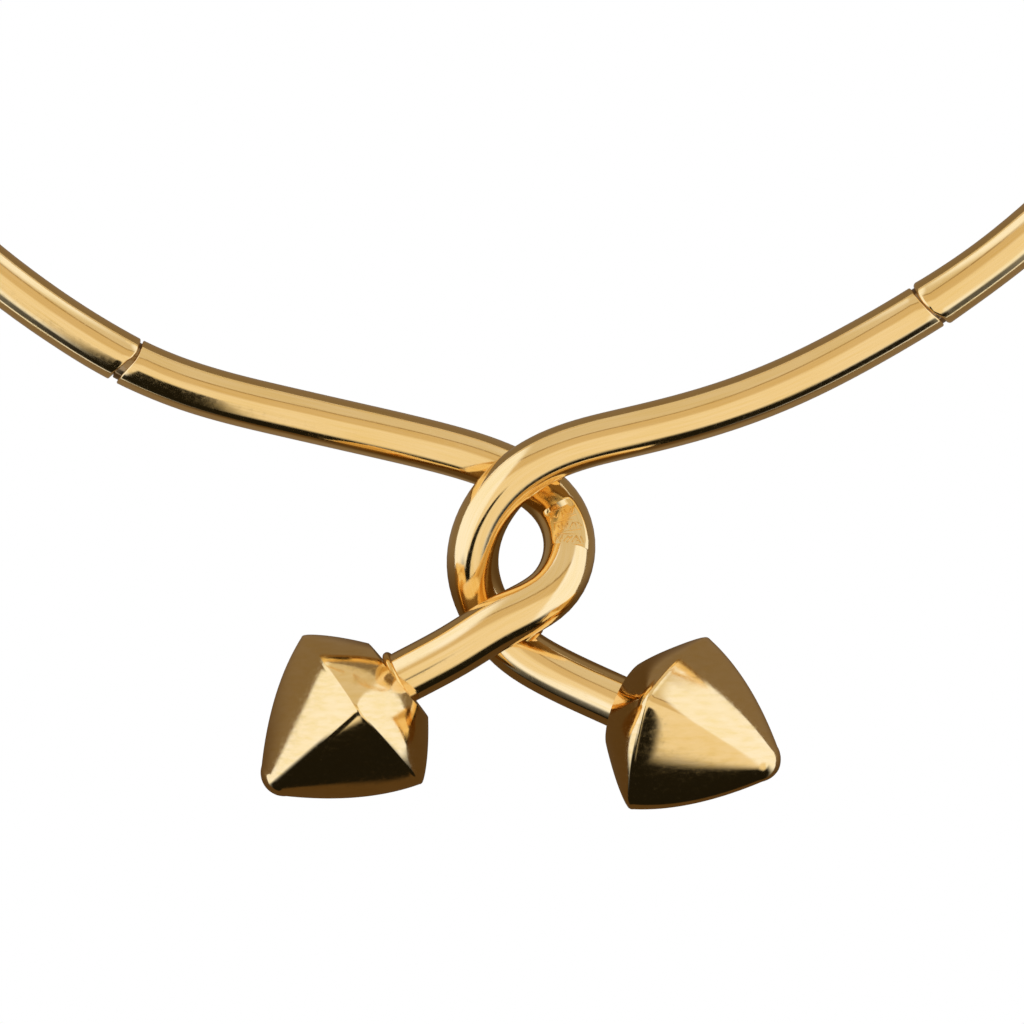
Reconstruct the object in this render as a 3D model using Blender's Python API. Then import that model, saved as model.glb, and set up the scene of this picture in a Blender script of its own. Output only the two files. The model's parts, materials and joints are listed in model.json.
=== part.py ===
"""Jointed gold torc, lying face up: two crossed arms with pyramid terminals, and a hinged collar on each side.

Everything is drawn in the plane of the neck ring: x to the right, y to the back, z up towards the viewer,
with the centre of the ring at 0, 0. The empty torc_on_table then lays that plane on its supports.
"""

import math

import bmesh
import bpy
import numpy as np
from mathutils import Matrix, Vector

MM = 0.001

# Tube and neck ring
TUBE_RADIUS = 2.02 * MM
TUBE_BEVEL = 5
LEG_SHARE = 1.05
LEG_FROM = 14.0 * MM
RING_RADIUS = 66.1 * MM
BACK_GAP = 30.0 * MM
RING_JOIN_DEG = 38.0
RING_KNOTS = 6
COLLAR_STEP = 3.6 * MM
ARM_STEP = 2.0 * MM
TIP_RINGS = 4
TIP_DEG = 80.0
LINE_STEPS = 40

# Air left between two pieces that touch in the real torc
SOLDER_GAP = 0.30 * MM
SEAM_GAP = 0.25 * MM

# Routes of the two arms in the ring's plane: x and y in millimetres for a ring of 66.1 mm, and the level.
# One step up or down is half the distance between two tubes that cross.
ROUTE_UNIT = RING_RADIUS / 66.1
CROSS_STEP = TUBE_RADIUS + SOLDER_GAP / 2
LEFT_SEAM = (-28.60, -60.28)
LEFT_SEAM_HEADING = -27.5
LEFT_ARM_ROUTE = (
    (-22.96, -62.54, 0.0),
    (-16.56, -64.20, -0.10),
    (-10.16, -65.66, -0.32),
    (-3.76, -67.18, -0.72),
    (1.04, -68.72, -0.98),
    (5.25, -71.44, -0.85),
    (6.60, -75.04, 0.0),
    (5.10, -78.72, 0.85),
    (1.36, -80.96, 1.02),
    (-2.48, -83.28, 0.88),
    (-7.08, -85.76, 0.60),
)
RIGHT_SEAM = (35.28, -55.84)
RIGHT_SEAM_HEADING = -147.5
RIGHT_ARM_ROUTE = (
    (30.24, -58.82, 0.0),
    (23.84, -62.04, 0.10),
    (17.44, -64.38, 0.32),
    (11.04, -66.03, 0.72),
    (5.90, -67.47, 0.98),
    (2.66, -69.24, 1.02),
    (-0.44, -73.10, 0.55),
    (-1.14, -75.84, 0.0),
    (-0.50, -79.37, -0.85),
    (1.84, -82.80, -1.02),
    (5.20, -85.05, -0.86),
    (11.28, -87.88, -0.28),
)

# Terminals: a square pyramid with swollen faces, one corner towards the viewer, and a domed back
CORNER_REACH = 7.65 * MM
POINT_LENGTH = 11.4 * MM
NOSE_RADIUS = 1.9 * MM
NOSE_DEG = 86.0
NOSE_STEPS = 3
SIDE_SWELL = 0.72 * MM
SIDE_STEPS = 5
NECK_OF_NOSE = 0.8
DOME_LENGTH = 3.75 * MM
DOME_CLOSE = 4.75 * MM
DOME_POWER = 1.35
DOME_STEPS = 5
GIRDLE_ROUND = 0.5 * MM
GIRDLE_STEPS = 2
FACE_POWER = 1.3
ROUND_POWER = 2.0
SECTION_POINTS = 32
SOCKET_DEPTH = 1.5 * MM
FLAT_DEPTH = 0.25 * MM
LEFT_TERMINAL = {"heading": -141.0, "tilt": -4.0}
RIGHT_TERMINAL = {"heading": -22.0, "tilt": 19.0}

# Hinges: a pin near one side of the tube, a tongue on the arm and two cheeks on the collar
PIN_RADIUS = 0.35 * MM
PIN_PLAY = 0.15 * MM
PIN_OFFSET = 1.02 * MM
PIN_SETBACK = 0.77 * MM
TONGUE_RADIUS = 0.85 * MM
TONGUE_HEIGHT = 1.2 * MM
TONGUE_STEPS = 12
KNUCKLE_RADIUS = 1.22 * MM
KNUCKLE_FROM_DEG = 75.0
KNUCKLE_STEPS = 7
COLLAR_BEVEL_DEG = 25.0
ARM_BEVEL_DEG = 12.0
STRAIGHT_SEAM_SLANT_DEG = 8.6
SEAM_OVERRUN = 1.6 * MM
SEAM_RUN = 3.0 * TUBE_RADIUS

# Look and helpers
GOLD = (0.83, 0.60, 0.27, 1.0)
GOLD_ROUGHNESS = 0.08
SMOOTH_DEG = 35.0
PIN_SIDES = 16
SOCKET_SIDES = 24
SAME_POINT = 0.001 * MM
FAR = 12.0 * MM
EMPTY_SIZE = 5.0 * MM


def clear_scene():
    for item in list(bpy.data.objects):
        bpy.data.objects.remove(item, do_unlink=True)


def collection(name):
    made = bpy.data.collections.new(name)
    bpy.context.scene.collection.children.link(made)
    return made


def gold_material(name):
    material = bpy.data.materials.new(name)
    material.use_nodes = True
    shader = material.node_tree.nodes["Principled BSDF"]
    shader.inputs["Base Color"].default_value = GOLD
    shader.inputs["Metallic"].default_value = 1.0
    shader.inputs["Roughness"].default_value = GOLD_ROUGHNESS
    return material


def heading_vector(degrees):
    angle = math.radians(degrees)
    return Vector((math.cos(angle), math.sin(angle), 0.0))


def on_plane(x, y, level=0.0):
    """A point of a route, which follows the size of the ring."""
    return Vector((x * ROUTE_UNIT, y * ROUTE_UNIT, level * CROSS_STEP))


# Smooth lines

def spline_slopes(knots, chords):
    """Slopes at the knots of the cubic spline whose curvature has no jumps."""
    count = len(knots)
    matrix = np.zeros((count, count))
    right = np.zeros((count, 3))
    matrix[0, :2] = 2.0, 1.0
    matrix[-1, -2:] = 1.0, 2.0
    right[0] = 3.0 * (knots[1] - knots[0]) / chords[0]
    right[-1] = 3.0 * (knots[-1] - knots[-2]) / chords[-1]
    for i in range(1, count - 1):
        before = 1.0 / chords[i - 1]
        after = 1.0 / chords[i]
        matrix[i, i - 1:i + 2] = before, 2.0 * (before + after), after
        right[i] = 3.0 * ((knots[i] - knots[i - 1]) * before**2 + (knots[i + 1] - knots[i]) * after**2)
    return np.linalg.solve(matrix, right)


def smooth_line(knots, step):
    """Points about one step apart on a smooth line through the knots."""
    knots = np.array([tuple(knot) for knot in knots])
    chords = np.linalg.norm(np.diff(knots, axis=0), axis=1)
    slopes = spline_slopes(knots, chords)
    fine = [knots[0]]
    for i, chord in enumerate(chords):
        for t in np.linspace(0.0, 1.0, LINE_STEPS + 1)[1:]:
            bend_in = (1.0 + 2.0 * t) * (1.0 - t) ** 2 * knots[i] + t * (1.0 - t) ** 2 * chord * slopes[i]
            bend_out = t * t * (3.0 - 2.0 * t) * knots[i + 1] + t * t * (t - 1.0) * chord * slopes[i + 1]
            fine.append(bend_in + bend_out)
    fine = np.array(fine)
    along = np.concatenate([[0.0], np.cumsum(np.linalg.norm(np.diff(fine, axis=0), axis=1))])
    places = np.linspace(0.0, along[-1], max(2, round(along[-1] / step)) + 1)
    return [Vector([np.interp(place, along, fine[:, axis]) for axis in range(3)]) for place in places]


def arm_line(seam, seam_heading, route):
    """The arm from just before its seam to the bottom of its terminal's socket."""
    start = on_plane(*seam)
    along = heading_vector(seam_heading)
    knots = [start - along * SEAM_OVERRUN, start]
    knots += [on_plane(*point) for point in route]
    neck = (knots[-1] - knots[-2]).normalized()
    knots.append(knots[-1] + neck * (SOCKET_DEPTH - SOLDER_GAP))
    return smooth_line(knots, ARM_STEP)


def collar_line(seam, seam_heading, side):
    """The collar from just past its seam, round one side of the neck to the open back."""
    start = on_plane(*seam)
    along = heading_vector(seam_heading)
    back = 180.0 - math.degrees(math.asin(BACK_GAP / 2 / RING_RADIUS))
    knots = [start + along * SEAM_OVERRUN, start]
    for degrees in np.linspace(RING_JOIN_DEG, back, RING_KNOTS):
        turn = math.radians(degrees)
        knots.append(Vector((side * math.sin(turn), -math.cos(turn), 0.0)) * RING_RADIUS)
    return smooth_line(knots, COLLAR_STEP)


# Solids

def placed(name, mesh, group, parent, origin=(0.0, 0.0, 0.0)):
    """An object for a mesh drawn in the ring's plane, with its own origin at the given point."""
    mesh.transform(Matrix.Translation(-Vector(origin)))
    item = bpy.data.objects.new(name, mesh)
    item.location = Vector(origin) - parent["origin"]
    item.parent = parent["empty"]
    group.objects.link(item)
    return item


def helper(name, mesh, group, parent):
    """A cutter, or a shape to be joined on: it never shows itself."""
    item = placed(name, mesh, group, parent)
    item.hide_render = True
    item.display_type = "WIRE"
    return item


def empty(name, group, origin, parent=None):
    item = bpy.data.objects.new(name, None)
    item.empty_display_size = EMPTY_SIZE
    if parent:
        item.parent = parent["empty"]
        item.location = Vector(origin) - parent["origin"]
    group.objects.link(item)
    return {"empty": item, "origin": Vector(origin)}


def leg_shares(points):
    """Thickness at each point of an arm: it grows a little over its last stretch."""
    left = [0.0]
    for point, after in zip(points[-2::-1], points[::-1]):
        left.append(left[-1] + (after - point).length)
    return [1.0 + (LEG_SHARE - 1.0) * min(1.0, max(0.0, 2.0 - rest / LEG_FROM)) for rest in reversed(left)]


def tube_mesh(name, points, shares=None):
    """A round tube along the points; with no shares of thickness given, it ends in a rounded tip."""
    rings = list(zip(points, shares or [1.0] * len(points)))
    if not shares:
        along = (points[-1] - points[-2]).normalized()
        for i in range(1, TIP_RINGS + 1):
            turn = math.radians(TIP_DEG) * i / TIP_RINGS
            rings.append((points[-1] + along * TUBE_RADIUS * math.sin(turn), math.cos(turn)))
    curve = bpy.data.curves.new(name, "CURVE")
    curve.dimensions = "3D"
    curve.bevel_depth = TUBE_RADIUS
    curve.bevel_resolution = TUBE_BEVEL
    curve.use_fill_caps = True
    spline = curve.splines.new("POLY")
    spline.points.add(len(rings) - 1)
    for control, (point, share) in zip(spline.points, rings):
        control.co = (*point, 1.0)
        control.radius = share
    drawn = bpy.data.objects.new(name, curve)
    bpy.context.scene.collection.objects.link(drawn)
    graph = bpy.context.evaluated_depsgraph_get()
    mesh = bpy.data.meshes.new_from_object(drawn.evaluated_get(graph))
    bpy.data.objects.remove(drawn)
    shape = bmesh.new()
    shape.from_mesh(mesh)
    bmesh.ops.remove_doubles(shape, verts=shape.verts, dist=SAME_POINT)
    bmesh.ops.recalc_face_normals(shape, faces=shape.faces)
    shape.to_mesh(mesh)
    shape.free()
    return mesh


def prism_mesh(name, outline, low, high, place):
    """A flat outline given a thickness, then set in place."""
    shape = bmesh.new()
    face = shape.faces.new([shape.verts.new((x, y, low)) for x, y in outline])
    grown = bmesh.ops.extrude_face_region(shape, geom=[face])
    lifted = [item for item in grown["geom"] if isinstance(item, bmesh.types.BMVert)]
    bmesh.ops.translate(shape, verts=lifted, vec=(0.0, 0.0, high - low))
    bmesh.ops.recalc_face_normals(shape, faces=shape.faces)
    mesh = bpy.data.meshes.new(name)
    shape.to_mesh(mesh)
    shape.free()
    mesh.transform(place)
    return mesh


def rod_mesh(name, radius, low, high, place, sides=PIN_SIDES):
    shape = bmesh.new()
    middle = Matrix.Translation((0.0, 0.0, (low + high) / 2))
    bmesh.ops.create_cone(
        shape, cap_ends=True, segments=sides, radius1=radius, radius2=radius, depth=high - low, matrix=middle
    )
    mesh = bpy.data.meshes.new(name)
    shape.to_mesh(mesh)
    shape.free()
    mesh.transform(place)
    return mesh


def boolean(item, other, operation):
    modifier = item.modifiers.new(operation.title() + " " + other.name, "BOOLEAN")
    modifier.operation = operation
    modifier.object = other
    modifier.solver = "EXACT"


def finish(item):
    item.data.shade_smooth()
    item.data.set_sharp_from_angle(angle=math.radians(SMOOTH_DEG))
    item.data.materials.append(gold_material(item.name))


# Terminals

def fillet(before, corner, after, radius, steps):
    """Points of the round that takes off a corner of an outline."""
    to_before = (before - corner).normalized()
    to_after = (after - corner).normalized()
    half = to_before.angle(to_after) / 2
    centre = corner + (to_before + to_after).normalized() * radius / math.sin(half)
    start = corner + to_before * radius / math.tan(half) - centre
    end = corner + to_after * radius / math.tan(half) - centre
    turn = start.angle(end)
    points = []
    for i in range(steps + 1):
        share = i / steps
        arm = (start * math.sin((1.0 - share) * turn) + end * math.sin(share * turn)) / math.sin(turn)
        points.append(centre + arm)
    return points


def terminal_profile():
    """Distance along the axis and reach of the corners, from the back face to the nose."""
    girdle = Vector((0.0, CORNER_REACH))
    point = Vector((POINT_LENGTH, 0.0))
    outline = []
    for i in range(DOME_STEPS):
        along = DOME_LENGTH * math.cos(math.pi / 2 * i / DOME_STEPS)
        reach = CORNER_REACH * (1.0 - (along / DOME_CLOSE) ** DOME_POWER) ** (1.0 / DOME_POWER)
        outline.append(Vector((-along, reach)))
    outline += fillet(outline[-1], girdle, point, GIRDLE_ROUND, GIRDLE_STEPS)
    taper = math.atan2(CORNER_REACH, POINT_LENGTH)
    nose_centre = POINT_LENGTH - NOSE_RADIUS / math.sin(taper)
    nose_start = nose_centre + NOSE_RADIUS * math.sin(taper)
    start = outline[-1]
    for i in range(1, SIDE_STEPS):
        share = i / SIDE_STEPS
        flat = start.lerp(Vector((nose_start, NOSE_RADIUS * math.cos(taper))), share)
        outline.append(flat + Vector((0.0, SIDE_SWELL * 4.0 * share * (1.0 - share))))
    for i in range(NOSE_STEPS + 1):
        turn = taper + (math.radians(NOSE_DEG) - taper) * i / NOSE_STEPS
        outline.append(Vector((nose_centre + NOSE_RADIUS * math.sin(turn), NOSE_RADIUS * math.cos(turn))))
    return outline, nose_start


def section_power(along, nose_start):
    """How square a section is: full at the girdle, round at the neck and at the nose."""
    if along < 0.0:
        share = -along / DOME_LENGTH
    else:
        rounding_from = nose_start * NECK_OF_NOSE
        share = max(0.0, (along - rounding_from) / (POINT_LENGTH - rounding_from))
    return FACE_POWER + (ROUND_POWER - FACE_POWER) * min(1.0, share)


def terminal_mesh(name, place):
    """The terminal drawn along its own z axis, with its girdle at z 0, then set in place."""
    outline, nose_start = terminal_profile()
    shape = bmesh.new()
    rings = []
    for along, reach in outline:
        bend = 2.0 / section_power(along, nose_start)
        ring = []
        for i in range(SECTION_POINTS):
            turn = 2.0 * math.pi * i / SECTION_POINTS
            x = math.copysign(abs(math.cos(turn)) ** bend, math.cos(turn))
            y = math.copysign(abs(math.sin(turn)) ** bend, math.sin(turn))
            ring.append(shape.verts.new((x * reach, y * reach, along)))
        rings.append(ring)
    for lower, upper in zip(rings, rings[1:]):
        for i in range(SECTION_POINTS):
            j = (i + 1) % SECTION_POINTS
            shape.faces.new((lower[i], lower[j], upper[j], upper[i]))
    shape.faces.new(reversed(rings[0]))
    shape.faces.new(rings[-1])
    mesh = bpy.data.meshes.new(name)
    shape.to_mesh(mesh)
    shape.free()
    mesh.transform(place)
    return mesh


def terminal_place(neck, pose):
    """Turns the terminal's own axes to its heading and tilt, with the middle of its back face at the neck."""
    tilt = math.radians(pose["tilt"])
    axis = heading_vector(pose["heading"]) * math.cos(tilt) + Vector((0.0, 0.0, math.sin(tilt)))
    side = axis.cross(Vector((0.0, 0.0, 1.0))).normalized()
    up = side.cross(axis)
    turn = Matrix((side, up, axis)).transposed().to_4x4()
    return Matrix.Translation(neck + axis * DOME_LENGTH) @ turn @ Matrix.Rotation(math.pi, 4, "Z")


def terminal_depth(neck, pose):
    """How far the lowest corner of the girdle lies below the ring's plane."""
    tilt = math.radians(pose["tilt"])
    outline, _ = terminal_profile()
    reach = max(point[1] for point in outline)
    return reach * math.cos(tilt) - neck.z - DOME_LENGTH * math.sin(tilt)


def add_terminal(name, neck, along, pose, group, cutters, frame, table):
    place = terminal_place(neck, pose)
    mesh = terminal_mesh(name, place)
    shape = bmesh.new()
    shape.from_mesh(mesh)
    point, normal = table
    bmesh.ops.bisect_plane(
        shape, geom=shape.verts[:] + shape.edges[:] + shape.faces[:], plane_co=point, plane_no=normal,
        clear_inner=True,
    )
    bmesh.ops.holes_fill(shape, edges=[edge for edge in shape.edges if edge.is_boundary])
    bmesh.ops.recalc_face_normals(shape, faces=shape.faces)
    shape.to_mesh(mesh)
    shape.free()
    item = placed(name, mesh, group, frame)
    turn = along.to_track_quat("Z", "Y").to_matrix().to_4x4()
    hole = rod_mesh(name + "_socket", TUBE_RADIUS + SOLDER_GAP, -FAR, SOCKET_DEPTH,
                    Matrix.Translation(neck) @ turn, sides=SOCKET_SIDES)
    boolean(item, helper(name + "_socket_cutter", hole, cutters, frame), "DIFFERENCE")
    finish(item)
    return item


# Hinges

def rolled_seam(clearance):
    """Left seam, from the pin's side of the tube to the other: round the knuckle, then a straight bevel."""
    radius = KNUCKLE_RADIUS + clearance
    slope = math.radians(COLLAR_BEVEL_DEG if clearance == 0.0 else ARM_BEVEL_DEG)
    line = [(0.0, radius + TUBE_RADIUS), (0.0, radius)]
    for degrees in np.linspace(KNUCKLE_FROM_DEG, -math.degrees(slope), KNUCKLE_STEPS + 1):
        turn = math.radians(degrees)
        line.append((radius * math.cos(turn), radius * math.sin(turn)))
    x, y = line[-1]
    line.append((x - SEAM_RUN * math.sin(slope), y - SEAM_RUN * math.cos(slope)))
    return line


def straight_seam(clearance):
    """Right seam: one straight cut, a little off square."""
    slope = math.tan(math.radians(STRAIGHT_SEAM_SLANT_DEG))
    middle = PIN_SETBACK + clearance
    return [(middle - (y + PIN_OFFSET) * slope, y) for y in (SEAM_RUN, -SEAM_RUN)]


def hinge_place(seam, seam_heading):
    """The hinge's own frame: z up the pin, x along the tube towards the arm."""
    along = heading_vector(seam_heading)
    across = Vector((0.0, 0.0, 1.0)).cross(along)
    pin = on_plane(*seam) - along * PIN_SETBACK + across * PIN_OFFSET
    turn = Matrix((along, across, Vector((0.0, 0.0, 1.0)))).transposed().to_4x4()
    return pin, Matrix.Translation(pin) @ turn


def add_hinge(side, arm, collar, seam_line, place, group, cutters, frame, hinge):
    """Cuts the seam, leaves a tongue on the arm and cheeks on the collar, and puts the pin through both."""
    high = 2.0 * TUBE_RADIUS
    ahead = [(FAR, seam_line(0.0)[-1][1]), (FAR, seam_line(0.0)[0][1])]
    behind = [(-FAR, seam_line(SEAM_GAP)[-1][1]), (-FAR, seam_line(SEAM_GAP)[0][1])]
    past_collar = prism_mesh(side + "_past_collar", seam_line(0.0) + ahead, -high, high, place)
    past_arm = prism_mesh(side + "_past_arm", seam_line(SEAM_GAP) + behind, -high, high, place)
    boolean(collar, helper(side + "_past_collar_cutter", past_collar, cutters, hinge), "DIFFERENCE")
    boolean(arm, helper(side + "_past_arm_cutter", past_arm, cutters, frame), "DIFFERENCE")

    half = TONGUE_HEIGHT / 2
    root = KNUCKLE_RADIUS + SEAM_GAP + TONGUE_RADIUS
    outline = [(root, TONGUE_RADIUS), (root, -TONGUE_RADIUS)]
    for degrees in np.linspace(-90.0, -270.0, TONGUE_STEPS + 1):
        turn = math.radians(degrees)
        outline.append((TONGUE_RADIUS * math.cos(turn), TONGUE_RADIUS * math.sin(turn)))
    tongue = prism_mesh(side + "_tongue", outline, -half, half, place)
    boolean(arm, helper(side + "_tongue_blank", tongue, cutters, frame), "UNION")

    back = -(TONGUE_RADIUS + SEAM_GAP)
    slot_side = -(TONGUE_RADIUS + 2.0 * SEAM_GAP)
    slot_half = half + SEAM_GAP
    slot = [(back, slot_side), (FAR, slot_side), (FAR, FAR), (back, FAR)]
    slot = prism_mesh(side + "_slot", slot, -slot_half, slot_half, place)
    boolean(collar, helper(side + "_slot_cutter", slot, cutters, hinge), "DIFFERENCE")

    hole = rod_mesh(side + "_pin_hole", PIN_RADIUS + PIN_PLAY, -high, high, place)
    boolean(arm, helper(side + "_arm_pin_cutter", hole, cutters, frame), "DIFFERENCE")
    boolean(collar, helper(side + "_collar_pin_cutter", hole.copy(), cutters, hinge), "DIFFERENCE")
    reach = math.sqrt(TUBE_RADIUS**2 - PIN_OFFSET**2) - PIN_PLAY
    pin = rod_mesh(side + "_hinge_pin", PIN_RADIUS, -reach, reach, place)
    item = placed(side + "_hinge_pin", pin, group, hinge, hinge["origin"])
    finish(item)


# Whole torc

def table_plane(necks):
    """Angle and height that lay the ring on its two back tips and both terminals."""
    depth = max(terminal_depth(neck, pose) for neck, pose in necks) - FLAT_DEPTH
    front = sum(neck.y for neck, _ in necks) / len(necks)
    back = math.sqrt(RING_RADIUS**2 - (BACK_GAP / 2) ** 2)
    tilt = math.atan2(depth - TUBE_RADIUS, back - front)
    turn = Matrix.Rotation(-tilt, 4, "X")
    lift = TUBE_RADIUS + back * math.sin(tilt)
    return Matrix.Translation((0.0, 0.0, lift)) @ turn


def centre_on_origin(frame, group):
    """Slides the torc so that the middle of its footprint is over the origin."""
    bpy.context.view_layer.update()
    graph = bpy.context.evaluated_depsgraph_get()
    low = Vector((math.inf, math.inf, math.inf))
    high = -low
    for item in group.objects:
        if item.type != "MESH":
            continue
        shown = item.evaluated_get(graph)
        for corner in shown.to_mesh().vertices:
            at = shown.matrix_world @ corner.co
            low = Vector(map(min, low, at))
            high = Vector(map(max, high, at))
        shown.to_mesh_clear()
    frame["empty"].location -= Vector(((low.x + high.x) / 2, (low.y + high.y) / 2, 0.0))


def build():
    clear_scene()
    group = collection("gold_torc")
    cutters = collection("gold_torc_cutters")
    frame = empty("torc_on_table", group, (0.0, 0.0, 0.0))
    sides = (
        ("left", -1.0, LEFT_SEAM, LEFT_SEAM_HEADING, LEFT_ARM_ROUTE, LEFT_TERMINAL, rolled_seam),
        ("right", 1.0, RIGHT_SEAM, RIGHT_SEAM_HEADING, RIGHT_ARM_ROUTE, RIGHT_TERMINAL, straight_seam),
    )
    necks = []
    for _, _, _, _, route, pose, _ in sides:
        necks.append((on_plane(*route[-1]), pose))
    laid = table_plane(necks)
    table = (laid.inverted() @ Vector((0.0, 0.0, 0.0)), laid.to_3x3().inverted() @ Vector((0.0, 0.0, 1.0)))

    for (side, sign, seam, heading, route, pose, seam_line), (neck, _) in zip(sides, necks):
        pin, place = hinge_place(seam, heading)
        hinge = empty(side + "_hinge_axis", group, pin, frame)
        arm_points = arm_line(seam, heading, route)
        arm_mesh = tube_mesh(side + "_arm", arm_points, leg_shares(arm_points))
        arm = placed(side + "_arm", arm_mesh, group, frame)
        collar_points = collar_line(seam, heading, sign)
        collar_mesh = tube_mesh(side + "_collar", collar_points)
        collar = placed(side + "_collar", collar_mesh, group, hinge, pin)
        add_hinge(side, arm, collar, seam_line, place, group, cutters, frame, hinge)
        along = (arm_points[-1] - arm_points[-2]).normalized()
        add_terminal(side + "_terminal", neck, along, pose, group, cutters, frame, table)
        finish(arm)
        finish(collar)
    frame["empty"].matrix_local = laid
    centre_on_origin(frame, group)


build()
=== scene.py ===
"""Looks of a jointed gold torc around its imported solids: tubes, terminals, seams, solder and stamp."""
import json
import math

import bmesh
import bpy
import numpy as np
from bpy.props import FloatProperty, FloatVectorProperty, IntProperty, PointerProperty
from mathutils import Matrix, Vector


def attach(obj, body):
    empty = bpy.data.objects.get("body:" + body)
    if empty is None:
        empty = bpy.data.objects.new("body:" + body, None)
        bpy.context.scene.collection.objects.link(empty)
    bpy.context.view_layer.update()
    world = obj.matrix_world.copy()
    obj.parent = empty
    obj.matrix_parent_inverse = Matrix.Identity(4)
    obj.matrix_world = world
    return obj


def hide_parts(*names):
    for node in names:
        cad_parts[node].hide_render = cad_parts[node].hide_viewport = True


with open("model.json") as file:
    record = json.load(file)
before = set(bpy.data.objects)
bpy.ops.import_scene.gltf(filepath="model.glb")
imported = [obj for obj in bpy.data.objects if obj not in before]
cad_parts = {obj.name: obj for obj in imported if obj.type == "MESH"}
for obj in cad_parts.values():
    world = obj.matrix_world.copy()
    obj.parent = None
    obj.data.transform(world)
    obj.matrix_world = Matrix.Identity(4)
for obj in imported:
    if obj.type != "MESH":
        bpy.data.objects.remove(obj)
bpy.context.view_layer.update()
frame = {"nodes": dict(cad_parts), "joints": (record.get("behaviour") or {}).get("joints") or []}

bl_info = {
    "name": "Jointed gold torc",
    "version": (1, 0, 0),
    "blender": (4, 5, 0),
    "location": "View3D > Sidebar > Torc",
    "description": "Polished gold torc of crossed tubes with pyramid terminals and hinged collars",
    "category": "Add Mesh",
}

MM = 0.001

# Routes of the arms in the ring's plane, in millimetres: x, y, and the level in crossing steps
LEFT_SEAM = (-28.60, -60.28)
LEFT_SEAM_HEADING = -27.5
LEFT_ARM_ROUTE = (
    (-22.96, -62.54, 0.0), (-16.56, -64.20, -0.10), (-10.16, -65.66, -0.32), (-3.76, -67.18, -0.72),
    (1.04, -68.72, -0.98), (5.25, -71.44, -0.85), (6.60, -75.04, 0.0), (5.10, -78.72, 0.85),
    (1.36, -80.96, 1.02), (-2.48, -83.28, 0.88), (-7.08, -85.76, 0.60),
)
RIGHT_SEAM = (35.28, -55.84)
RIGHT_SEAM_HEADING = -147.5
RIGHT_ARM_ROUTE = (
    (30.24, -58.82, 0.0), (23.84, -62.04, 0.10), (17.44, -64.38, 0.32), (11.04, -66.03, 0.72),
    (5.90, -67.47, 0.98), (2.66, -69.24, 1.02), (-0.44, -73.10, 0.55), (-1.14, -75.84, 0.0),
    (-0.50, -79.37, -0.85), (1.84, -82.80, -1.02), (5.20, -85.05, -0.86), (11.28, -87.88, -0.28),
)
RING_RADIUS = 66.1 * MM
BACK_GAP = 30.0 * MM
RING_JOIN_DEG = 38.0
RING_KNOTS = 6
PIN_OFFSET = 1.02 * MM
PIN_SETBACK = 0.77 * MM

CROSSING_GAP = 0.15 * MM
SEAM_OVERRUN = 1.6 * MM
NECK_OVERRUN = 1.2 * MM
POINTS_PER_CHORD = 60
PROBE = 0.05 * MM

# Edges of the seams, in millimetres: distance across the tube from its middle, and how far towards the
# arm the edge stands. The right one opens wider on the pin's side, to leave room for the hinge to turn.
LEFT_COLLAR_LIP = (
    (-2.1, -0.86), (-1.41, -0.72), (-0.75, -0.38), (-0.08, -0.18), (0.37, 0.09), (0.95, 0.21),
    (1.33, 0.16), (1.70, 0.06), (2.1, -0.06),
)
LEFT_ARM_LIP = (
    (-2.1, -0.24), (-1.24, -0.04), (-0.49, 0.18), (0.32, 0.42), (0.96, 0.46), (1.51, 0.36), (2.1, 0.20),
)
RIGHT_COLLAR_LIP = (
    (-2.1, 0.10), (-1.75, 0.18), (-1.18, 0.28), (-0.53, 0.28), (0.02, 0.19), (0.62, 0.02),
    (1.17, -0.27), (1.60, -0.50), (2.1, -0.64),
)
RIGHT_ARM_LIP = (
    (-2.1, 0.44), (-1.64, 0.45), (-1.08, 0.43), (-0.67, 0.38), (0.02, 0.25), (0.62, 0.08),
    (1.17, -0.10), (1.60, -0.24), (2.1, -0.32),
)
LIP_BLEND = 6.0 * MM
EDGE_STEPS = 6
COLLAR_EDGE_SHARES = {"left": 0.8, "right": 1.6}
COLLAR_NEAR = 8.0 * MM
COLLAR_NEAR_STEPS = 14
FLARE_LENGTH = 6.0 * MM
NEARLY_CLOSED_DEG = 88.0
TIP_STEPS = 13

# The cores in the seams; their dark bronze colour is painted shade, the hinge's gold in the shade of the
# seam's recess
CORE_REACH = {"left": 0.86, "right": 0.90}
CORE_LENGTH = 2.4 * MM
CORE_SHIFT = 0.55 * MM
CORE_BEVEL = 0.12 * MM

# Solder beads where the arms cross: name, middle in the ring's plane in millimetres, half sizes, heading
SOLDER_BEADS = (
    ("upper_solder", 5.15, -69.55, -0.45, (1.15, 0.42, 0.62), 14.0),
    ("lower_solder", 3.60, -82.15, -0.75, (1.05, 0.45, 0.62), 38.0),
)
BEAD_LUMPS = 0.03
NECK_RING_SHARE = 1.6
NECK_RING_BACK = 0.1 * MM
NECK_RING_SIDES = 16
NECK_RING_STEPS = 64

# The filed patch on the loop, in the ring's plane, and the strokes on it
STAMP_START = (6.05, -72.55)
STAMP_END = (6.55, -75.75)
STAMP_HEIGHT = 1.58 * MM
STAMP_ROWS = 3
STROKES_IN_ROW = 7
PATCH_RISE = 0.5 * MM
PATCH_STEP = 0.06 * MM
STROKE_PITCH = 0.33 * MM
STROKE_SHIFT = 0.04 * MM
STROKE_SLIDE = 0.06 * MM
STROKE_LEAN = 40.0
STROKE_WIDTH = 0.10 * MM
STROKE_DEPTH = 0.09 * MM
STROKE_LENGTHS = (0.45 * MM, 0.8 * MM)
DASH_SLIDE = 0.25 * MM
DASH_SIZE = (0.26 * MM, 0.08 * MM, 0.07 * MM)
ROW_EDGE = 0.47 * MM
ROW_EDGE_SIZE = (2.15 * MM, 0.05 * MM, 0.06 * MM)
STROKE_BEVEL = 0.018 * MM

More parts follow.
